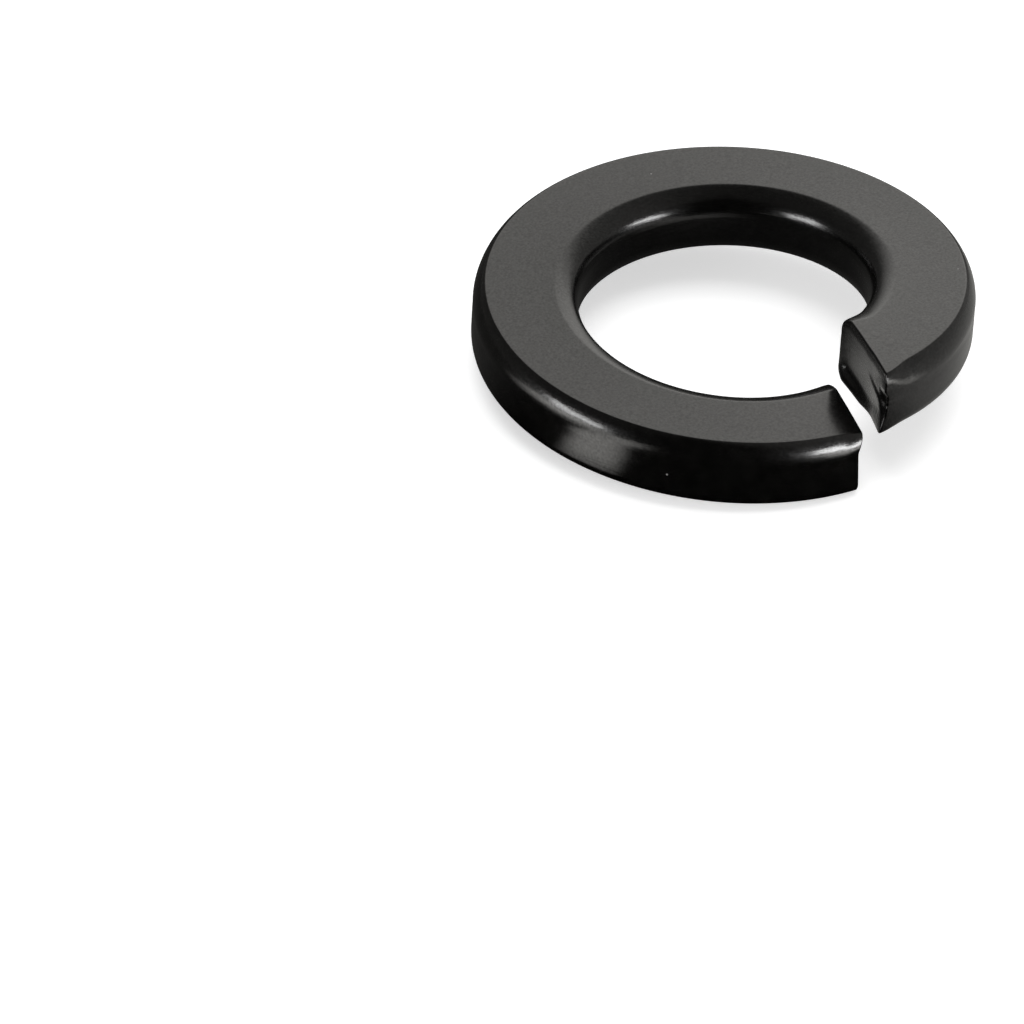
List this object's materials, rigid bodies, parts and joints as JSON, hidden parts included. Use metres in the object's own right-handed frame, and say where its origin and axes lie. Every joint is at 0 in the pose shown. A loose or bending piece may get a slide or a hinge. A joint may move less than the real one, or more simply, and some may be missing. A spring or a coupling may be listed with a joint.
{
  "type": "spring lock washer",
  "caption": "Split spring lock washer in black steel: a flat band with rounded edges wound round a bore, cut on a slant, its ends sprung apart along the axis.",
  "frame": {"origin": "on the bore's axis, level with the lowest place of the low end's underside", "axes": "+Z along the bore's axis, from the low end towards the raised end; the split faces -Y; the band climbs clockwise seen from above, from the low end on the -X side of the split to the raised end on its +X side"},
  "size_m": [0.0142, 0.0142, 0.0038],
  "materials": {
    "black_spring_steel": "black oxide, smooth satin"
  },
  "bodies": {
    "root": {"lock_washer": "black_spring_steel"}
  },
  "joints": []
}
